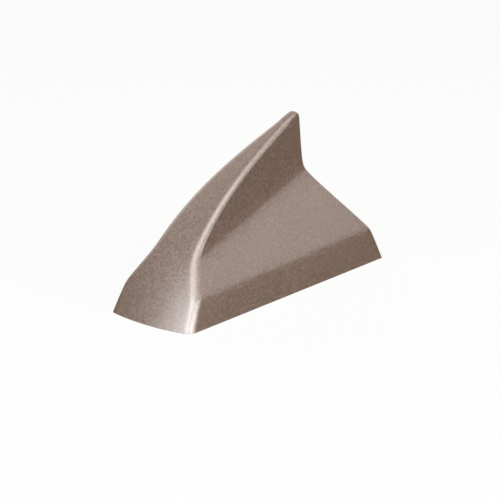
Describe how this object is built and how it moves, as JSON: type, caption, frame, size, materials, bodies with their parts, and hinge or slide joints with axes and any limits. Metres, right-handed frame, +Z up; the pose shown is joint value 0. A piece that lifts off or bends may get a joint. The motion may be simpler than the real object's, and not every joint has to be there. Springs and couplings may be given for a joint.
{
  "type": "shark fin aerial",
  "caption": "Car roof aerial with a painted shark fin cover over an adhesive base, radio coil, navigation patch and amplifier board.",
  "frame": {"origin": "under the middle of the aerial's box, on the roof surface", "axes": "+X towards the tail, -X towards the nose, +Z up from the roof, +Y across"},
  "size_m": [0.14, 0.0552, 0.0748],
  "materials": {
    "cover_paint": "satin metallic bronze paint over moulded plastic",
    "seal_rubber": "matte moulded rubber",
    "base_plastic": "fine moulded texture",
    "pad_foam": "closed cell foam",
    "insert_brass": "turned",
    "screw_steel": "zinc plated",
    "tinned_sheet": "tinned, satin",
    "board_laminate": "solder mask",
    "patch_ceramic": "unglazed with a silvered top",
    "chip_plastic": "moulded",
    "choke_ferrite": "sintered",
    "can_aluminium": "drawn can",
    "former_plastic": "natural moulding",
    "coil_copper": "enamelled copper wire"
  },
  "bodies": {
    "root": {"cover": "cover_paint", "rim_seal": "seal_rubber", "base_plate": "base_plastic", "adhesive_pad": "pad_foam", "stud_insert": "insert_brass", "cable_grommet": "seal_rubber", "cover_screws": "screw_steel", "ground_plate": "tinned_sheet", "circuit_board": "board_laminate", "board_screws": "screw_steel", "navigation_patch": "patch_ceramic", "patch_pin": "tinned_sheet", "shield_frame": "tinned_sheet", "shield_lid": "tinned_sheet", "amplifier_chip": "chip_plastic", "chip_capacitors": "patch_ceramic", "choke_coils": "choke_ferrite", "storage_capacitor": "can_aluminium", "cable_socket": "insert_brass", "power_terminal": "former_plastic", "coil_former": "former_plastic", "radio_coil": "coil_copper", "coil_foot_clip": "insert_brass", "top_plate": "tinned_sheet", "foam_pad": "pad_foam"}
  },
  "joints": []
}
